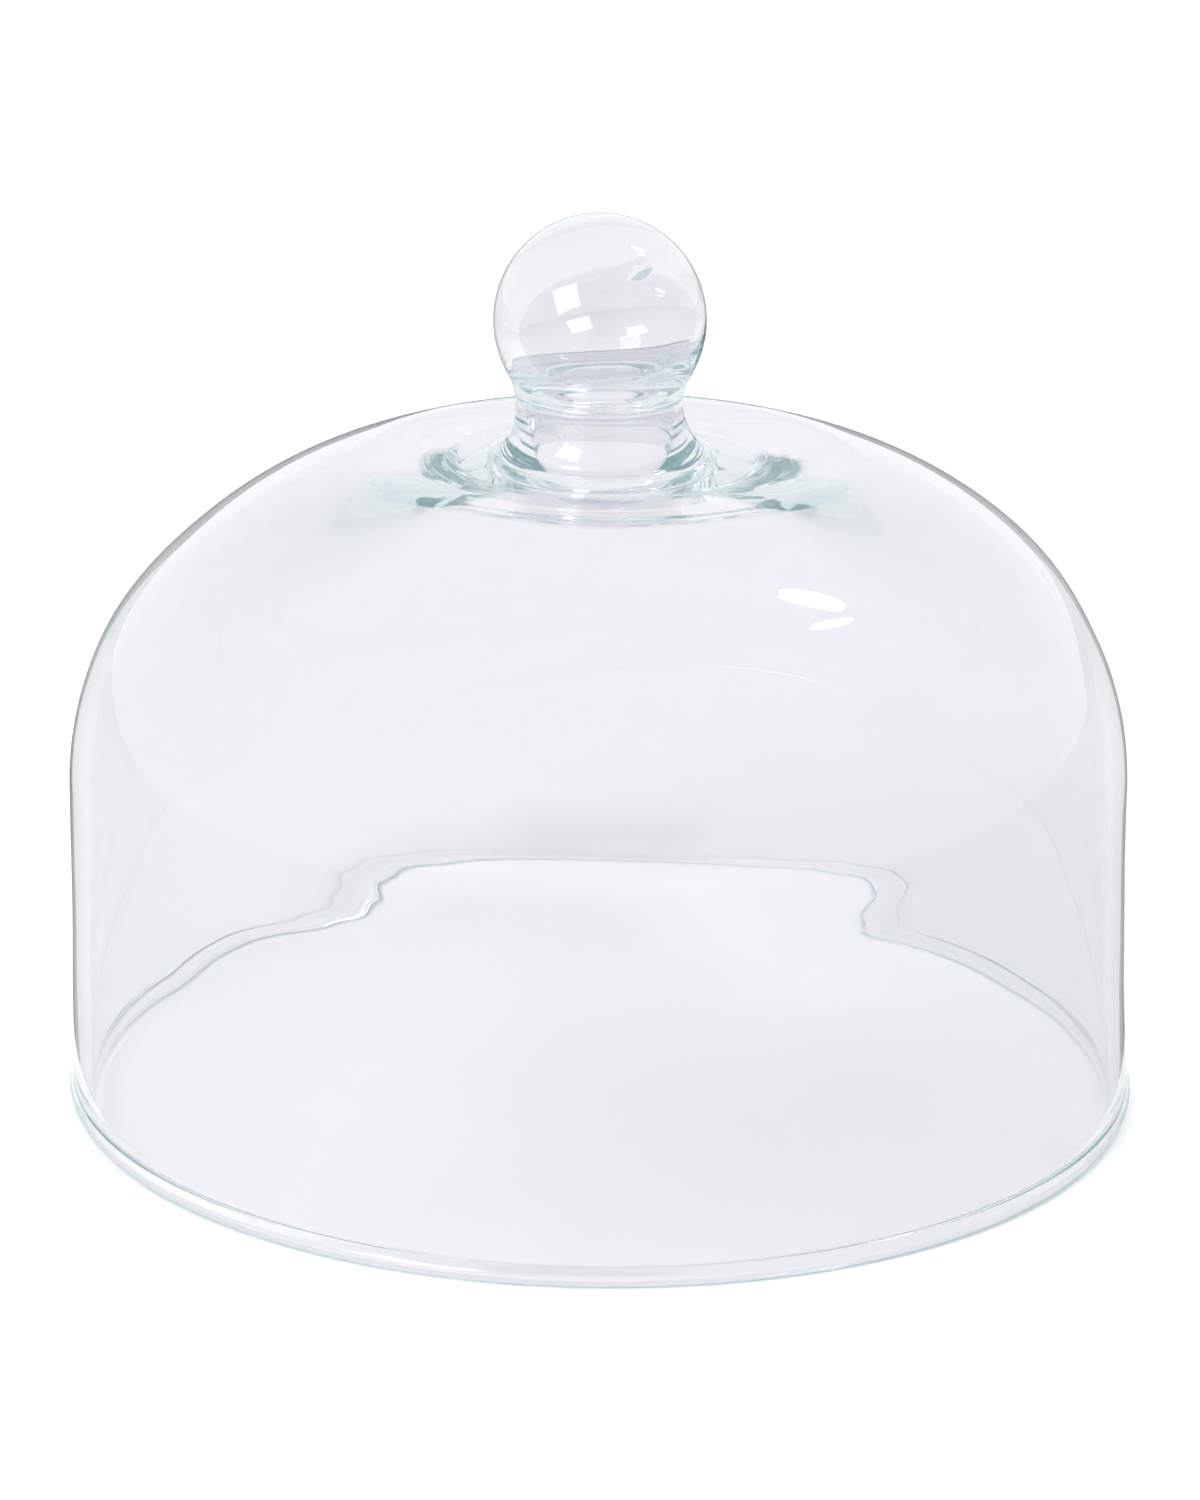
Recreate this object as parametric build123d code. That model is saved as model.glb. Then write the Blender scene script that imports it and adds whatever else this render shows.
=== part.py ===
from build123d import *
from math import acos, asin, cos, degrees, radians, sin
import os

# A glass dome with a hollow ball knob. Every section is a ring turned about Z, and the dome stands mouth down on Z = 0.
# Millimetres and degrees. An outline's points are (radius, height), and angles are measured up from the horizontal.

# Rim
MOUTH_RADIUS = 140.0  # outermost radius of the rolled bead
BEAD_RADIUS = 2.95  # radius of the bead's round section
SEAT_DEPTH = 0.2  # how much of the bead is ground away to make the flat that the dome stands on
BEAD_TOP_Z = 4.4  # where the bead runs into the wall

# Bell, outer surface
WALL_FOOT_RADIUS = 139.0
WALL_TOP_RADIUS = 137.2
WALL_TOP_Z = 85.5
SHOULDER_ARC = 80.7  # radius of the shoulder's arc, and the angle at which it ends
SHOULDER_END = 45.2
CROWN_ARC = 109.0  # the flatter arc above it
CROWN_END = 74.0
BROW_ARC = 22.0  # the last turn, on to the level top

# Glass thickness of the bell
WALL_GLASS = 4.4
SHOULDER_GLASS = 2.2
THINNING_START_Z = 90.0  # the glass thins between these two heights of the outer surface
THINNING_END_Z = 116.0

# Thick disc of glass at the top
DISC_GLASS = 7.25
DISC_RADIUS = 45.0  # where it has thinned out to the shoulder's glass
DISC_SLOPE = 12.0  # width of the slope round its edge
DISC_CUT_RADIUS = 52.0  # where the disc's section ends and the shoulder's begins

# Knob
WAIST_RADIUS = 21.4  # the narrowest part of the neck
WAIST_Z = 185.0
FLARE_ARC = 19.0  # the hollow curve from the waist down to the top of the bell
NECK_GLASS = 2.2
NECK_TOP_Z = 188.0
CHANNEL_TURN = 3.2  # the neck's hollow turns out under the disc with this radius
BALL_RADIUS = 27.1
BALL_CENTRE_Z = 206.0
PINCH_RADIUS = 10.9  # the narrow place between the neck's hollow and the ball's
PINCH_Z = 188.9
PINCH_FOOT_RADIUS = 12.0  # where the pinch opens into the flat ceiling of the neck's hollow
CAVITY_RADIUS = 22.5  # half the width and half the height of the hollow in the ball
CAVITY_HALF_HEIGHT = 18.0
CAVITY_CENTRE_Z = 205.0
CAVITY_MOUTH_RADIUS = 12.0


def polar(centre, radius, angle):
    """The point at an angle on a circle."""
    return (centre[0] + radius * cos(radians(angle)), centre[1] + radius * sin(radians(angle)))


def arc(centre, radius, start, end):
    """A circular arc between two angles."""
    ends = [polar(centre, radius, angle) for angle in (start, (start + end) / 2, end)]
    return ThreePointArc(*ends)


def angle_at(rise, radius):
    """The angle at which a circle has risen this far above its centre."""
    return degrees(asin(rise / radius))


def turned(*edges):
    """The ring that a closed outline sweeps about Z."""
    return revolve(Plane.XZ * make_face(edges), Axis.Z)


# Centres of the bell's three arcs: each arc leaves the one before it without a corner
shoulder_centre = (WALL_TOP_RADIUS - SHOULDER_ARC, WALL_TOP_Z)
shoulder_end = polar(shoulder_centre, SHOULDER_ARC, SHOULDER_END)
crown_centre = polar(shoulder_end, -CROWN_ARC, SHOULDER_END)
crown_end = polar(crown_centre, CROWN_ARC, CROWN_END)
brow_centre = polar(crown_end, -BROW_ARC, CROWN_END)
top_z = brow_centre[1] + BROW_ARC
underside_z = top_z - SHOULDER_GLASS

# The neck: its outside is a hollow curve, and its inside a straight channel
flare_centre = (WAIST_RADIUS + FLARE_ARC, WAIST_Z)
flare_foot_angle = 180 + angle_at(WAIST_Z - top_z, FLARE_ARC)
channel_radius = WAIST_RADIUS - NECK_GLASS
disc_underside_z = top_z - DISC_GLASS

# Small hollow curve from the waist up to the ball, tangent to both
ball_rise = BALL_CENTRE_Z - WAIST_Z
collar_arc = (WAIST_RADIUS**2 + ball_rise**2 - BALL_RADIUS**2) / (2 * (BALL_RADIUS - WAIST_RADIUS))
collar_centre = (WAIST_RADIUS + collar_arc, WAIST_Z)
collar_top_angle = 180 - angle_at(NECK_TOP_Z - WAIST_Z, collar_arc)
ball_foot_angle = -angle_at(ball_rise, BALL_RADIUS + collar_arc)


def lip_bead():
    """The rolled bead: a round section, cut flat below for the seat and above where the wall begins."""
    centre = (MOUTH_RADIUS - BEAD_RADIUS, BEAD_RADIUS - SEAT_DEPTH)
    seat = -angle_at(centre[1], BEAD_RADIUS)
    top = angle_at(BEAD_TOP_Z - centre[1], BEAD_RADIUS)
    outside = arc(centre, BEAD_RADIUS, seat, top)
    inside = arc(centre, BEAD_RADIUS, 180 - top, 180 - seat)
    return turned(outside, Line(outside @ 1, inside @ 0), inside, Line(inside @ 1, outside @ 0))


def bell_wall():
    """The side wall, upright at the top and drawn out a little towards the bead."""
    outside = TangentArc((WALL_TOP_RADIUS, WALL_TOP_Z), (WALL_FOOT_RADIUS, BEAD_TOP_Z), tangent=(0, -1))
    inside = TangentArc(
        (WALL_TOP_RADIUS - WALL_GLASS, WALL_TOP_Z), (WALL_FOOT_RADIUS - WALL_GLASS, BEAD_TOP_Z), tangent=(0, -1)
    )
    return turned(outside, Line(outside @ 1, inside @ 1), inside, Line(inside @ 0, outside @ 0))


def bell_shoulder():
    """The dome: three arcs outside, and the same arcs inside, set in by glass that thins above the wall."""
    thick_arc = SHOULDER_ARC - WALL_GLASS
    thin_arc = SHOULDER_ARC - SHOULDER_GLASS
    thinning_start = angle_at(THINNING_START_Z - WALL_TOP_Z, SHOULDER_ARC)
    thinning_end = angle_at(THINNING_END_Z - WALL_TOP_Z, SHOULDER_ARC)
    inner_foot = polar(shoulder_centre, thick_arc, 0)
    outer_foot = polar(shoulder_centre, SHOULDER_ARC, 0)
    return turned(
        arc(shoulder_centre, SHOULDER_ARC, 0, SHOULDER_END),
        arc(crown_centre, CROWN_ARC, SHOULDER_END, CROWN_END),
        arc(brow_centre, BROW_ARC, CROWN_END, 90),
        Line((brow_centre[0], top_z), (DISC_CUT_RADIUS, top_z)),
        Line((DISC_CUT_RADIUS, top_z), (DISC_CUT_RADIUS, underside_z)),
        Line((DISC_CUT_RADIUS, underside_z), (brow_centre[0], underside_z)),
        arc(brow_centre, BROW_ARC - SHOULDER_GLASS, 90, CROWN_END),
        arc(crown_centre, CROWN_ARC - SHOULDER_GLASS, CROWN_END, SHOULDER_END),
        arc(shoulder_centre, thin_arc, SHOULDER_END, thinning_end),
        Line(polar(shoulder_centre, thin_arc, thinning_end), polar(shoulder_centre, thick_arc, thinning_start)),
        arc(shoulder_centre, thick_arc, thinning_start, 0),
        Line(inner_foot, outer_foot),
    )


def crown_disc():
    """The thick disc at the top, with the neck's channel turning out into its underside."""
    turn = arc((channel_radius + CHANNEL_TURN, disc_underside_z + CHANNEL_TURN), CHANNEL_TURN, 180, 270)
    outline = Polyline(
        turn @ 1,
        (DISC_RADIUS - DISC_SLOPE, disc_underside_z),
        (DISC_RADIUS, underside_z),
        (DISC_CUT_RADIUS, underside_z),
        (DISC_CUT_RADIUS, top_z),
        (channel_radius, top_z),
        turn @ 0,
    )
    return turned(turn, outline)


def knob_neck():
    """The hollow neck, waisted between the ball and the disc."""
    flare = arc(flare_centre, FLARE_ARC, flare_foot_angle, 180)
    collar = arc(collar_centre, collar_arc, 180, collar_top_angle)
    channel = Polyline(collar @ 1, (channel_radius, NECK_TOP_Z), (channel_radius, top_z), flare @ 0)
    return turned(flare, collar, channel)


def knob_ball():
    """The ball, with a slightly flattened hollow inside it that opens through a pinch into the neck."""
    collar = arc(collar_centre, collar_arc, collar_top_angle, 180 + ball_foot_angle)
    sphere = arc((0, BALL_CENTRE_Z), BALL_RADIUS, ball_foot_angle, 90)
    mouth_angle = -degrees(acos(CAVITY_MOUTH_RADIUS / CAVITY_RADIUS))
    cavity = EllipticalCenterArc(
        (0, CAVITY_CENTRE_Z), CAVITY_RADIUS, CAVITY_HALF_HEIGHT, mouth_angle, arc_size=90 - mouth_angle
    )
    pinch = ThreePointArc(cavity @ 0, (PINCH_RADIUS, PINCH_Z), (PINCH_FOOT_RADIUS, NECK_TOP_Z))
    return turned(
        collar, sphere, Line(sphere @ 1, cavity @ 1), cavity, pinch, Line(pinch @ 1, collar @ 0)
    )


os.makedirs("parts", exist_ok=True)
for section in (lip_bead, bell_wall, bell_shoulder, crown_disc, knob_neck, knob_ball):
    export_step(section(), f"parts/{section.__name__}.step")
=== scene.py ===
"""The glass dome's looks: one continuous body of blown glass on a pale floor, in soft studio light.

Lengths of the glass are in millimetres, turned into metres when its mesh is made. The stage is in metres.
Angles are in degrees, apart from the azimuths of the glass, which are radians counted from the +X side.
An outline's points are (radius, height).
"""

from math import asin, atan2, cos, degrees, exp, hypot, pi, radians, sin

import bmesh
import bpy
from mathutils import Matrix, Vector


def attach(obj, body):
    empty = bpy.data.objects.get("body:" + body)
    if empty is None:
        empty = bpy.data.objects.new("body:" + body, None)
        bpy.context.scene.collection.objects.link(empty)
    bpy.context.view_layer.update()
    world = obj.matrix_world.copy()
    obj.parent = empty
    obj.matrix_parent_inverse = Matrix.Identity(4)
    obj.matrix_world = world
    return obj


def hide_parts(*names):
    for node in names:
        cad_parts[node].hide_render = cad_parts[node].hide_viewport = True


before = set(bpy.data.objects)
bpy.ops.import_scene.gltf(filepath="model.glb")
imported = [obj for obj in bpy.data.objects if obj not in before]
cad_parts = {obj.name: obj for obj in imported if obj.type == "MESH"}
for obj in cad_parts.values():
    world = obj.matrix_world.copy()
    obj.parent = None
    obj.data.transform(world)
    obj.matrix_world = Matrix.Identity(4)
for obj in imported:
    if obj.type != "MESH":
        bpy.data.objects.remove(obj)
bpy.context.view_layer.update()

MM = 0.001

# Rim
BEAD_RADIUS = 2.95
BEAD_CENTRE = (137.05, 2.75)
BEAD_SHOULDER = 24  # angle at which the bead turns into the wall
BEAD_BLEND_Z = 7.5  # where that turn has died out

# Bell, outer surface
WALL_FOOT_RADIUS = 139.0
WALL_FOOT_Z = 4.4
WALL_TOP_RADIUS = 137.2
WALL_TOP_Z = 85.5
SHOULDER_ARC = 80.7
SHOULDER_END = 45.2
CROWN_ARC = 109.0
CROWN_END = 74.0
BROW_ARC = 22.0

# Glass of the bell: thick at the foot, thinning slightly up the wall and steeply over the shoulder.
# A thinning gives the height where it begins and how much height it takes to come in, then the same for its
# end. Its slope is the glass lost per height.
FOOT_GLASS = 4.5
LOW_THINNING = (56.0, 14.0, 74.0, 16.0)
THINNING_LEFT = (85.8, 19.0, 107.0, 11.0)
THINNING_RIGHT = (84.0, 15.0, 101.0, 17.0)
LOW_SLOPE_LEFT = 0.034
LOW_SLOPE_RIGHT = 0.010
SLOPE_LEFT = 0.098
SLOPE_RIGHT = 0.108

# Cosines of the azimuth: the left's thinning changes to the right's between the first two. Beyond the third,
# towards the far left and right, the thinning dies out.
LEFT_END = -0.45
RIGHT_START = 0.50
SIDE_START = 0.58

# Faint ripples round the shoulder
RIPPLE_DEPTH = 0.003
RIPPLE_LENGTH = 6.0
RIPPLE_START_Z = 84.0
RIPPLE_END_Z = 116.0
RIPPLE_FADE = 10.0

# Thick disc under the top, fading out to the shoulder's glass
DISC_GLASS = 7.25
DISC_EDGE = 37.0
DISC_FADE = (5.5, 11.0)  # half the width of its slope, at the front and back and at the sides
DISC_OVAL = 4.0  # how much further it reaches at the sides, and less at the front and back
DISC_WOBBLE = 0.8
DISC_TILT = 0.033  # how much its glass thickens towards the back
TILT_END = 6.0  # height above the top of the bell where that tilt has died out
TILT_FADE = 9.25  # and the height over which it does

# Knob
WAIST_RADIUS = 21.4
WAIST_Z = 185.0
FLARE_ARC = 19.0
NECK_GLASS = 2.2
FLARE_END = 205  # angle on the flare's arc where it eases off into the top of the bell
ROOT_RADIUS = 30.0  # where it has run out
CHANNEL_FOOT_RADIUS = 19.8  # the neck's hollow runs almost straight down
CHANNEL_TURN = 3.2  # and turns sharply out under the disc
BALL_RADIUS = 27.1
BALL_CENTRE_Z = 206.0
PINCH_RADIUS = 10.9
PINCH_Z = 188.9
CEILING_Z = 188.0  # of the neck's hollow
CEILING_CORNER = 3.5
CAVITY_RADIUS = 22.5
CAVITY_HALF_HEIGHT = 18.0
CAVITY_CENTRE_Z = 205.0
CAVITY_MOUTH = -57.8  # where the ball's hollow turns in to the pinch

# How the ball's hollow strays: its shift to the right, its rise towards the right, both coming in above the
# pinch, and a fold in its surface. The fold's place and size are angles, its depth a share of the radius.
HOLLOW_SHIFT = 1.5
HOLLOW_TILT = 0.05
HOLLOW_FADE = 10.0
FOLD_AZIMUTH = -52.0
FOLD_WIDTH = 20.0
FOLD_HEIGHT = 52.0
FOLD_BREADTH = 6.0
FOLD_SLANT = 6.0
FOLD_DEPTH = 0.05

# How far the glass strays sideways at each height, as blown glass does. Above the crown and inside the
# knob's reach, the knob's drift takes over from the bell's.
BELL_LEAN = ((0, 0), (40, -0.8), (80, -1.25), (120, -0.9), (150, 1.0), (240, 1.0))
KNOB_LEAN = ((0, -1.2), (172, -1.2), (185, -2.0), (240, -2.0))
KNOB_REACH = 48.0
KNOB_REACH_FADE = 20.0
CROWN_Z = 150.0
CROWN_FADE = 10.0

SEGMENTS = 192


def smooth(x):
    """A soft step from 0 to 1."""
    x = min(max(x, 0.0), 1.0)
    return x * x * (3 - 2 * x)


def smooth_sum(x):
    """The area under the soft step up to x."""
    if x <= 0:
        return 0.0
    if x >= 1:
        return x - 0.5
    return x**3 - x**4 / 2


def polar(centre, radius, angle):
    return (centre[0] + radius * cos(radians(angle)), centre[1] + radius * sin(radians(angle)))


def arc(centre, radius, start, end, count):
    """Points along an arc, without its last one."""
    return [polar(centre, radius, start + (end - start) * i / count) for i in range(count)]


def bezier(a, b, c, d, count):
    """Points along a cubic curve from a to d, with the handles b and c, without its last one."""
    points = []
    for i in range(count):
        t = i / count
        weights = ((1 - t) ** 3, 3 * t * (1 - t) ** 2, 3 * t * t * (1 - t), t**3)
        points.append(tuple(sum(w * p[k] for w, p in zip(weights, (a, b, c, d))) for k in (0, 1)))
    return points


def wall_radius(z):
    drop = (WALL_TOP_Z - z) / (WALL_TOP_Z - WALL_FOOT_Z)
    return WALL_TOP_RADIUS + (WALL_FOOT_RADIUS - WALL_TOP_RADIUS) * drop * drop


def spread(start, end, count):
    return [start + (end - start) * i / count for i in range(count)]


def bead_side(side):
    """From the seat up to the wall, on the outside (1) or the inside (-1) of the bead."""
    seat = degrees(asin(BEAD_CENTRE[1] / BEAD_RADIUS))
    turn = arc((0, BEAD_CENTRE[1]), BEAD_RADIUS, -seat, BEAD_SHOULDER, 14)
    return [(BEAD_CENTRE[0] + side * r, z) for r, z in turn]


# The bell's arcs, each leaving the one before it without a corner
shoulder_centre = (WALL_TOP_RADIUS - SHOULDER_ARC, WALL_TOP_Z)
crown_centre = polar(polar(shoulder_centre, SHOULDER_ARC, SHOULDER_END), -CROWN_ARC, SHOULDER_END)
brow_centre = polar(polar(crown_centre, CROWN_ARC, CROWN_END), -BROW_ARC, CROWN_END)
top_z = brow_centre[1] + BROW_ARC

# The hollow curve between the top and the neck
flare_centre = (WAIST_RADIUS + FLARE_ARC, WAIST_Z)

# The collar between the neck and the ball, tangent to both
ball_rise = BALL_CENTRE_Z - WAIST_Z
collar_arc = (WAIST_RADIUS**2 + ball_rise**2 - BALL_RADIUS**2) / (2 * (BALL_RADIUS - WAIST_RADIUS))
collar_centre = (WAIST_RADIUS + collar_arc, WAIST_Z)
ball_foot = degrees(asin(ball_rise / (BALL_RADIUS + collar_arc)))


def bell_outside():
    """From the bead's top to the top of the bell: the part whose inner surface follows its outer one."""
    wall = spread(BEAD_BLEND_Z, 50.0, 14) + spread(50.0, WALL_TOP_Z, 30)
    points = [(wall_radius(z), z) for z in wall]
    points += arc(shoulder_centre, SHOULDER_ARC, 0, 24, 28)
    points += arc(shoulder_centre, SHOULDER_ARC, 24, SHOULDER_END, 14)
    points += arc(crown_centre, CROWN_ARC, SHOULDER_END, CROWN_END, 20)
    points += arc(brow_centre, BROW_ARC, CROWN_END, 90, 6)
    points += [(r, top_z) for r in spread(brow_centre[0], flare_centre[0], 22)]
    return points


def knob_outside():
    """From the level top, up the neck's flare and the collar, and over the ball."""
    start = (ROOT_RADIUS, top_z)
    foot = polar(flare_centre, FLARE_ARC, FLARE_END)
    points = [(r, top_z) for r in spread(flare_centre[0], start[0], 8)]
    points += bezier(start, (start[0] - 2.5, top_z), polar(foot, -3.6, FLARE_END - 90), foot, 20)
    points += arc(flare_centre, FLARE_ARC, FLARE_END, 180, 12)
    points += arc(collar_centre, collar_arc, 180, 180 - ball_foot, 10)
    points += arc((0, BALL_CENTRE_Z), BALL_RADIUS, -ball_foot, 90, 40)
    return points


def cavity_point(angle):
    """A point of the ball's hollow, which is a little flatter than a sphere."""
    return (CAVITY_RADIUS * cos(radians(angle)), CAVITY_CENTRE_Z + CAVITY_HALF_HEIGHT * sin(radians(angle)))


def knob_inside():
    """The ball's hollow, the pinch below it, the neck's straight hollow, and the disc's level underside."""
    mouth = cavity_point(CAVITY_MOUTH)
    pinch = (PINCH_RADIUS, PINCH_Z)
    ceiling = (PINCH_RADIUS + 1.3, CEILING_Z)
    wall_top = (WAIST_RADIUS - NECK_GLASS, CEILING_Z - CEILING_CORNER)
    turn_centre = (CHANNEL_FOOT_RADIUS + CHANNEL_TURN, top_z - DISC_GLASS + CHANNEL_TURN)
    turn = (CHANNEL_FOOT_RADIUS, turn_centre[1])
    points = [cavity_point(angle) for angle in spread(90, 0, 22)[1:] + spread(0, CAVITY_MOUTH, 16)]
    points += bezier(mouth, (mouth[0] - 0.6, mouth[1] - 0.3), (pinch[0], pinch[1] + 0.4), pinch, 5)
    points += bezier(pinch, (pinch[0], pinch[1] - 0.6), (ceiling[0] - 0.6, ceiling[1]), ceiling, 5)
    points += bezier(ceiling, (ceiling[0] + 5, ceiling[1]), (wall_top[0], wall_top[1] + 2.6), wall_top, 14)
    points += bezier(wall_top, (wall_top[0], wall_top[1] - 6), (turn[0], turn[1] + 6), turn, 14)
    points += arc(turn_centre, CHANNEL_TURN, 180, 270, 12)
    points += [(r, top_z - DISC_GLASS) for r in spread(turn_centre[0], flare_centre[0], 14)]
    return points


def lost_glass(z, slope, begins, comes_in, ends, goes_out):
    """How much a slope that comes in and goes out softly has taken off by height z."""
    gained = comes_in * smooth_sum((z - begins) / comes_in)
    return slope * (gained - goes_out * smooth_sum((z - ends) / goes_out))


def blend(left, right, share):
    return left + (right - left) * share


def shoulder_ripple(z, azimuth):
    shown = smooth((z - RIPPLE_START_Z) / RIPPLE_FADE) * smooth((RIPPLE_END_Z - z) / RIPPLE_FADE)
    return RIPPLE_DEPTH * shown * sin(2 * pi * z / RIPPLE_LENGTH + 5 * sin(3 * azimuth))


def disc_share(r, azimuth):
    """How much of the disc's extra glass is there, inside an edge that is a little oval and uneven."""
    edge = DISC_EDGE + DISC_OVAL * cos(2 * azimuth)
    edge += DISC_WOBBLE * (sin(3 * azimuth + 1) + 0.7 * sin(5 * azimuth))
    fade = blend(*DISC_FADE, cos(azimuth) ** 2)
    return smooth((edge + fade - r) / (2 * fade))


def bell_glass(r, z, azimuth):
    """Thickness of the bell at a point of its outer surface."""
    across = cos(azimuth)
    right = smooth((across - LEFT_END) / (RIGHT_START - LEFT_END))
    side = smooth((abs(across) - SIDE_START) / (1 - SIDE_START))
    loss = lost_glass(z, blend(LOW_SLOPE_LEFT, LOW_SLOPE_RIGHT, right), *LOW_THINNING)
    left_loss = lost_glass(z, SLOPE_LEFT, *THINNING_LEFT)
    right_loss = lost_glass(z, SLOPE_RIGHT, *THINNING_RIGHT)
    loss += blend(left_loss, right_loss, right)
    glass = FOOT_GLASS - loss * (1 - side) + shoulder_ripple(z, azimuth)
    return blend(glass, DISC_GLASS + DISC_TILT * r * sin(azimuth), disc_share(r, azimuth))


def drift(table, z):
    """The sideways drift that a table gives for a height."""
    for (low, a), (high, b) in zip(table, table[1:]):
        if z <= high:
            return blend(a, b, smooth((z - low) / (high - low)))
    return table[-1][1]


def leaning(x, y, z):
    """A point of the glass in metres, with its drift."""
    knob = smooth((KNOB_REACH - hypot(x, y)) / KNOB_REACH_FADE) * smooth((z - CROWN_Z) / CROWN_FADE)
    return Vector((x + blend(drift(BELL_LEAN, z), drift(KNOB_LEAN, z), knob), y, z)) * MM


def normals(points):
    """Unit normals of an outline that climbs up the outside, pointing out of the glass."""
    found = []
    for i in range(len(points)):
        a = points[max(i - 1, 0)]
        b = points[min(i + 1, len(points) - 1)]
        run = (b[0] - a[0], b[1] - a[1])
        length = hypot(*run)
        found.append((run[1] / length, -run[0] / length))
    return found


def hollow_wander(x, y, z):
    """The ball's hollow as blown: off centre, tilted, and with a fold high on its right."""
    inside = smooth((z - PINCH_Z) / HOLLOW_FADE)
    rise = z - CAVITY_CENTRE_Z
    across = (degrees(atan2(y, x)) - FOLD_AZIMUTH) / FOLD_WIDTH
    along = (degrees(atan2(rise, hypot(x, y))) - FOLD_HEIGHT - FOLD_SLANT * across) / FOLD_BREADTH
    keep = 1 - FOLD_DEPTH * exp(-across * across - along * along)
    moved_z = CAVITY_CENTRE_Z + rise * keep + HOLLOW_TILT * x * inside
    return (x * keep + HOLLOW_SHIFT * inside, y * keep, moved_z)


def tilted_underside(x, y, z):
    """The tilt of the disc's underside, which dies out up the neck's hollow."""
    return (x, y, z - DISC_TILT * y * smooth((top_z + TILT_END - z) / TILT_FADE))


def bead_to_wall(side):
    """The soft corner between the bead and the wall, on the outside (1) or the inside (-1)."""
    tip = polar((0, BEAD_CENTRE[1]), BEAD_RADIUS, BEAD_SHOULDER)
    leave = polar(tip, 1.3, BEAD_SHOULDER + 90)
    foot = (wall_radius(BEAD_BLEND_Z) - (FOOT_GLASS if side < 0 else 0), BEAD_BLEND_Z)
    ends = [(BEAD_CENTRE[0] + side * r, z) for r, z in (tip, leave)]
    return bezier(*ends, (foot[0], foot[1] - 1.6), foot, 6)


def glass_rings():
    """Every ring of the body, up the outside from the seat to the ball's top, and down the inside again."""
    azimuths = [2 * pi * i / SEGMENTS for i in range(SEGMENTS)]
    bell = bell_outside()
    outside = bead_side(1) + bead_to_wall(1) + bell + knob_outside()
    rings = [[point] * SEGMENTS for point in outside + knob_inside()]
    hollow = range(len(outside), len(rings))
    for (r, z), (nr, nz) in reversed(list(zip(bell, normals(bell)))):
        ring = []
        for azimuth in azimuths:
            glass = bell_glass(r, z, azimuth)
            ring.append((r - glass * nr, z - glass * nz))
        rings.append(ring)
    rings += [[point] * SEGMENTS for point in reversed(bead_side(-1) + bead_to_wall(-1))]
    return rings, hollow, azimuths


def glass_body():
    """One closed mesh, so that light meets only real surfaces of glass."""
    rings, hollow, azimuths = glass_rings()
    mesh = bmesh.new()
    rows = []
    for i, ring in enumerate(rings):
        row = []
        for (r, z), azimuth in zip(ring, azimuths):
            place = (r * cos(azimuth), r * sin(azimuth), z)
            if i in hollow:
                place = tilted_underside(*hollow_wander(*place))
            row.append(mesh.verts.new(leaning(*place)))
        rows.append(row)
    ball_top = leaning(0, 0, BALL_CENTRE_Z + BALL_RADIUS)
    hollow_top = leaning(*hollow_wander(0, 0, CAVITY_CENTRE_Z + CAVITY_HALF_HEIGHT))
    poles = [mesh.verts.new(ball_top), mesh.verts.new(hollow_top)]
    for i in range(len(rows)):
        a = rows[i]
        b = rows[(i + 1) % len(rows)]
        for j in range(SEGMENTS):
            k = (j + 1) % SEGMENTS
            if i == hollow.start - 1:
                mesh.faces.new((a[j], a[k], poles[0]))
                mesh.faces.new((poles[1], b[k], b[j]))
            else:
                mesh.faces.new((a[j], a[k], b[k], b[j]))
    for face in mesh.faces:
        face.smooth = True
    data = bpy.data.meshes.new("dome_glass")
    mesh.to_mesh(data)
    mesh.free()
    body = bpy.data.objects.new("dome_glass", data)
    bpy.context.collection.objects.link(body)
    return body


# Materials


def node(tree, kind, **settings):
    """A new shader node, with some of its sockets set."""
    made = tree.nodes.new(kind)
    for name, value in settings.items():
        made.inputs[name.replace("_", " ")].default_value = value
    return made


# The glass's grey at each surface is painted shade: it dims everything that is seen through the glass.
PAINTED_SHADE_TINT = (0.870, 0.868, 0.892, 1)
THICK_GLASS_COLOUR = (0.0, 0.42, 0.43, 1)
THICK_GLASS_DENSITY = 3.2


def clear_glass():
    """Soda glass: blue-green where thick and slightly wavy, as if blown, with a faint grey at each surface
    that is painted shade, dimming all seen through it.
    """
    material = bpy.data.materials.new("clear_glass")
    material.use_nodes = True
    tree = material.node_tree
    shader = tree.nodes["Principled BSDF"]
    shader.inputs["Base Color"].default_value = PAINTED_SHADE_TINT
    shader.inputs["Roughness"].default_value = 0.0
    shader.inputs["IOR"].default_value = 1.5
    shader.inputs["Transmission Weight"].default_value = 1.0
    place = tree.nodes.new("ShaderNodeTexCoord")
    waves = node(tree, "ShaderNodeTexNoise", Scale=22.0, Detail=2.0, Roughness=0.45)
    bump = node(tree, "ShaderNodeBump", Strength=0.12, Distance=0.0006)
    tree.links.new(place.outputs["Object"], waves.inputs["Vector"])
    tree.links.new(waves.outputs["Fac"], bump.inputs["Height"])
    tree.links.new(bump.outputs["Normal"], shader.inputs["Normal"])
    absorption = node(
        tree, "ShaderNodeVolumeAbsorption", Color=THICK_GLASS_COLOUR, Density=THICK_GLASS_DENSITY
    )
    tree.links.new(absorption.outputs["Volume"], tree.nodes["Material Output"].inputs["Volume"])
    return material


def pale_floor():
    """A matt white surface that glows a little, so that it stays white outside the dome."""
    material = bpy.data.materials.new("pale_floor")
    material.use_nodes = True
    shader = material.node_tree.nodes["Principled BSDF"]
    shader.inputs["Base Color"].default_value = (0.75, 0.75, 0.75, 1)
    shader.inputs["Emission Color"].default_value = (1, 1, 1, 1)
    shader.inputs["Emission Strength"].default_value = 0.2
    shader.inputs["Roughness"].default_value = 1.0
    shader.inputs["Specular IOR Level"].default_value = 0.0
    return material


# Studio

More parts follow.
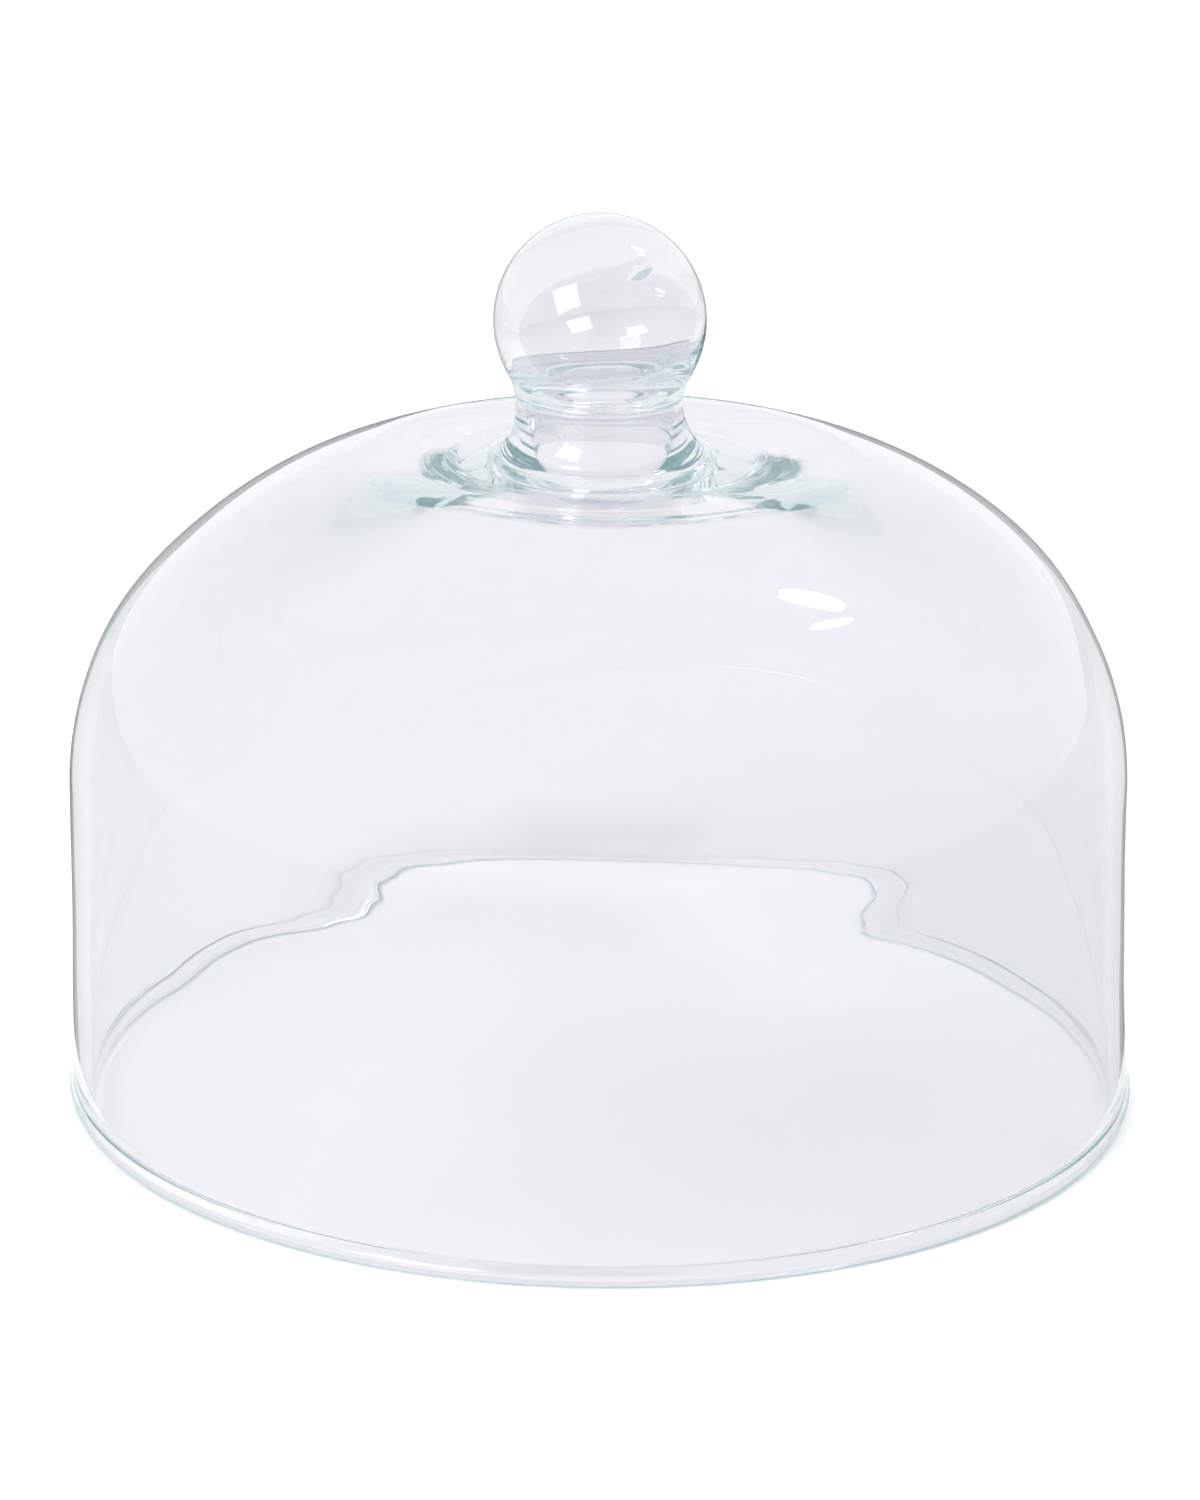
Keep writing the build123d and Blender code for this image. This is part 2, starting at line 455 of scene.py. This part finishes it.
FLOOR_RADIUS = 12.0
FLOOR_DROP = 0.00005
MAT_START = 0.15  # radius of the mats' inner edge, just outside the rim
MAT_END = 8.0
MAT_HALF_WIDTH = 2.6  # of the dark mat's far end
MAT_STEPS = 64
FLAG_PLACE = Vector((-99, -180, 181)) * MM
FLAG_FACING = Vector((-0.57, -0.61, 0.545))
FLAG_RADIUS = 0.055
LIGHT_AIM = Vector((0, 0, 0.15))
ROOM = 1.07  # radiance of the surroundings

# The shaded patch of the surroundings: each edge's axis, and where along it the shade begins and is full
SHADE = (0.3, 0.31, 0.33, 1)
SHADE_EDGES = (("X", -0.45, -0.2), ("X", 0.45, 0.2), ("Y", -0.6, -0.8), ("Z", 0.08, 0.2), ("Z", 0.56, 0.4))

CAMERA_PLACE = Vector((-0.89, -1331.3, 524.4)) * MM
CAMERA_AIM = Vector((-0.89, 0.0, 91.27)) * MM
CAMERA_ROLL = radians(0.58)
CAMERA_LENS = 129.1
BOUNCES = 200


def stage_piece(name, mesh, material, place, hidden_from=()):
    """Puts a finished mesh on the stage, unseen by some kinds of ray."""
    data = bpy.data.meshes.new(name)
    mesh.to_mesh(data)
    mesh.free()
    data.materials.append(material)
    made = bpy.data.objects.new(name, data)
    made.matrix_world = place
    for rays in hidden_from:
        setattr(made, f"visible_{rays}", False)
    bpy.context.collection.objects.link(made)


def floor():
    mesh = bmesh.new()
    bmesh.ops.create_circle(mesh, cap_ends=True, segments=96, radius=FLOOR_RADIUS)
    stage_piece("floor", mesh, pale_floor(), Matrix.Translation((0, 0, -FLOOR_DROP)))


def card(name, radiance):
    """An evenly bright surface, as a studio sets cards and mats to shape what glass reflects."""
    material = bpy.data.materials.new(name)
    material.use_nodes = True
    tree = material.node_tree
    glow = node(tree, "ShaderNodeEmission", Color=(radiance, radiance, radiance, 1), Strength=1.0)
    tree.links.new(glow.outputs["Emission"], tree.nodes["Material Output"].inputs["Surface"])
    return material


def mat(name, radiance, height, edge):
    """A mat on the floor that only reflections see.

    Its outer edge is given for each step of a turn that starts at the right and goes by the back.
    """
    mesh = bmesh.new()
    inner = []
    outer = []
    for i, (x, y) in enumerate(edge):
        inner.append(mesh.verts.new((*polar((0, 0), MAT_START, 360 * i / MAT_STEPS), 0)))
        outer.append(mesh.verts.new((x, y, 0)))
    for i in range(len(edge) - 1):
        mesh.faces.new((inner[i], outer[i], outer[i + 1], inner[i + 1]))
    hidden_from = ("camera", "diffuse", "transmission", "volume_scatter", "shadow")
    stage_piece(name, mesh, card(name, radiance), Matrix.Translation((0, 0, height)), hidden_from)


def mats():
    """The dark mat behind draws the dome's thin outline, and the grey one dims the floor's reflection."""
    half = MAT_STEPS // 2
    behind = [(MAT_HALF_WIDTH * (1 - 2 * i / half), MAT_END) for i in range(half + 1)]
    around = [polar((0, 0), MAT_END, 360 * i / MAT_STEPS) for i in range(MAT_STEPS + 1)]
    mat("dark_mat", 0.2, 0.0002, behind)
    mat("grey_mat", 0.62, 0.0001, around)


def flag():
    """A round card, as bright as the room, that hides the key light from the bell's shoulder.

    It shows only in the glass: reflected by it, or through it.
    """
    mesh = bmesh.new()
    bmesh.ops.create_circle(mesh, cap_ends=True, segments=48, radius=FLAG_RADIUS)
    turn = FLAG_FACING.to_track_quat("Z", "Y").to_matrix().to_4x4()
    hidden_from = ("camera", "diffuse", "volume_scatter", "shadow")
    stage_piece("flag", mesh, card("flag", ROOM), Matrix.Translation(FLAG_PLACE) @ turn, hidden_from)


def softbox(name, azimuth, elevation, distance, width, height, roll, radiance, shape="RECTANGLE"):
    """A flat light that faces the knob. Azimuth 0 is the camera's side and 90 the right."""
    a = radians(azimuth)
    e = radians(elevation)
    out = Vector((sin(a) * cos(e), -cos(a) * cos(e), sin(e)))
    data = bpy.data.lights.new(name, "AREA")
    data.shape = shape
    data.size = width
    data.size_y = height
    data.energy = radiance * width * height * pi
    light = bpy.data.objects.new(name, data)
    light.visible_camera = False
    turn = out.to_track_quat("Z", "Y").to_matrix().to_4x4() @ Matrix.Rotation(radians(roll), 4, "Z")
    light.matrix_world = Matrix.Translation(LIGHT_AIM + out * distance) @ turn
    bpy.context.collection.objects.link(light)


def surroundings():
    """A pale, even room, with one soft shaded patch low on the camera's side."""
    world = bpy.data.worlds.new("studio")
    bpy.context.scene.world = world
    world.use_nodes = True
    tree = world.node_tree
    links = tree.links
    sky = tree.nodes["Background"]
    sky.inputs["Strength"].default_value = 1.0
    place = tree.nodes.new("ShaderNodeTexCoord")
    split = tree.nodes.new("ShaderNodeSeparateXYZ")
    links.new(place.outputs["Generated"], split.inputs["Vector"])
    shaded = None
    for axis, outside, inside in SHADE_EDGES:
        edge = node(tree, "ShaderNodeMapRange", From_Min=outside, From_Max=inside, To_Min=0.0, To_Max=1.0)
        links.new(split.outputs[axis], edge.inputs["Value"])
        if shaded is None:
            shaded = edge.outputs["Result"]
            continue
        both = tree.nodes.new("ShaderNodeMath")
        both.operation = "MULTIPLY"
        links.new(shaded, both.inputs[0])
        links.new(edge.outputs["Result"], both.inputs[1])
        shaded = both.outputs["Value"]
    shade = tree.nodes.new("ShaderNodeValToRGB")
    shade.color_ramp.elements[0].color = (ROOM, ROOM, ROOM, 1)
    shade.color_ramp.elements[1].color = SHADE
    links.new(shaded, shade.inputs["Fac"])
    links.new(shade.outputs["Color"], sky.inputs["Color"])


def camera():
    data = bpy.data.cameras.new("camera")
    data.lens = CAMERA_LENS
    data.sensor_width = 36.0
    data.clip_start = 0.05
    data.clip_end = 60.0
    made = bpy.data.objects.new("camera", data)
    ahead = (CAMERA_AIM - CAMERA_PLACE).normalized()
    right = ahead.cross(Vector((0, 0, 1))).normalized()
    up = right.cross(ahead)
    x = right * cos(CAMERA_ROLL) + up * sin(CAMERA_ROLL)
    y = up * cos(CAMERA_ROLL) - right * sin(CAMERA_ROLL)
    made.matrix_world = Matrix.Translation(CAMERA_PLACE) @ Matrix((x, y, -ahead)).transposed().to_4x4()
    bpy.context.collection.objects.link(made)
    bpy.context.scene.camera = made


def light_handling():
    """Plain colours, and enough bounces for light that is caught inside thick glass."""
    scene = bpy.context.scene
    scene.view_settings.view_transform = "Standard"
    scene.cycles.max_bounces = BOUNCES
    scene.cycles.transmission_bounces = BOUNCES
    scene.cycles.glossy_bounces = BOUNCES
    scene.cycles.blur_glossy = 0.0


glass = glass_body()
glass.data.materials.append(clear_glass())
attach(glass, "root")
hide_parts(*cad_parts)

floor()
mats()
flag()
surroundings()
softbox("key", -43, 33, 2.0, 0.9, 0.9, 35, 7.0)
softbox("high_back", 124, 58, 2.0, 0.34, 0.14, 57, 14.0, "ELLIPSE")
softbox("low_back", 110.6, 56.7, 2.0, 0.28, 0.05, 120, 14.0, "ELLIPSE")
camera()
light_handling()
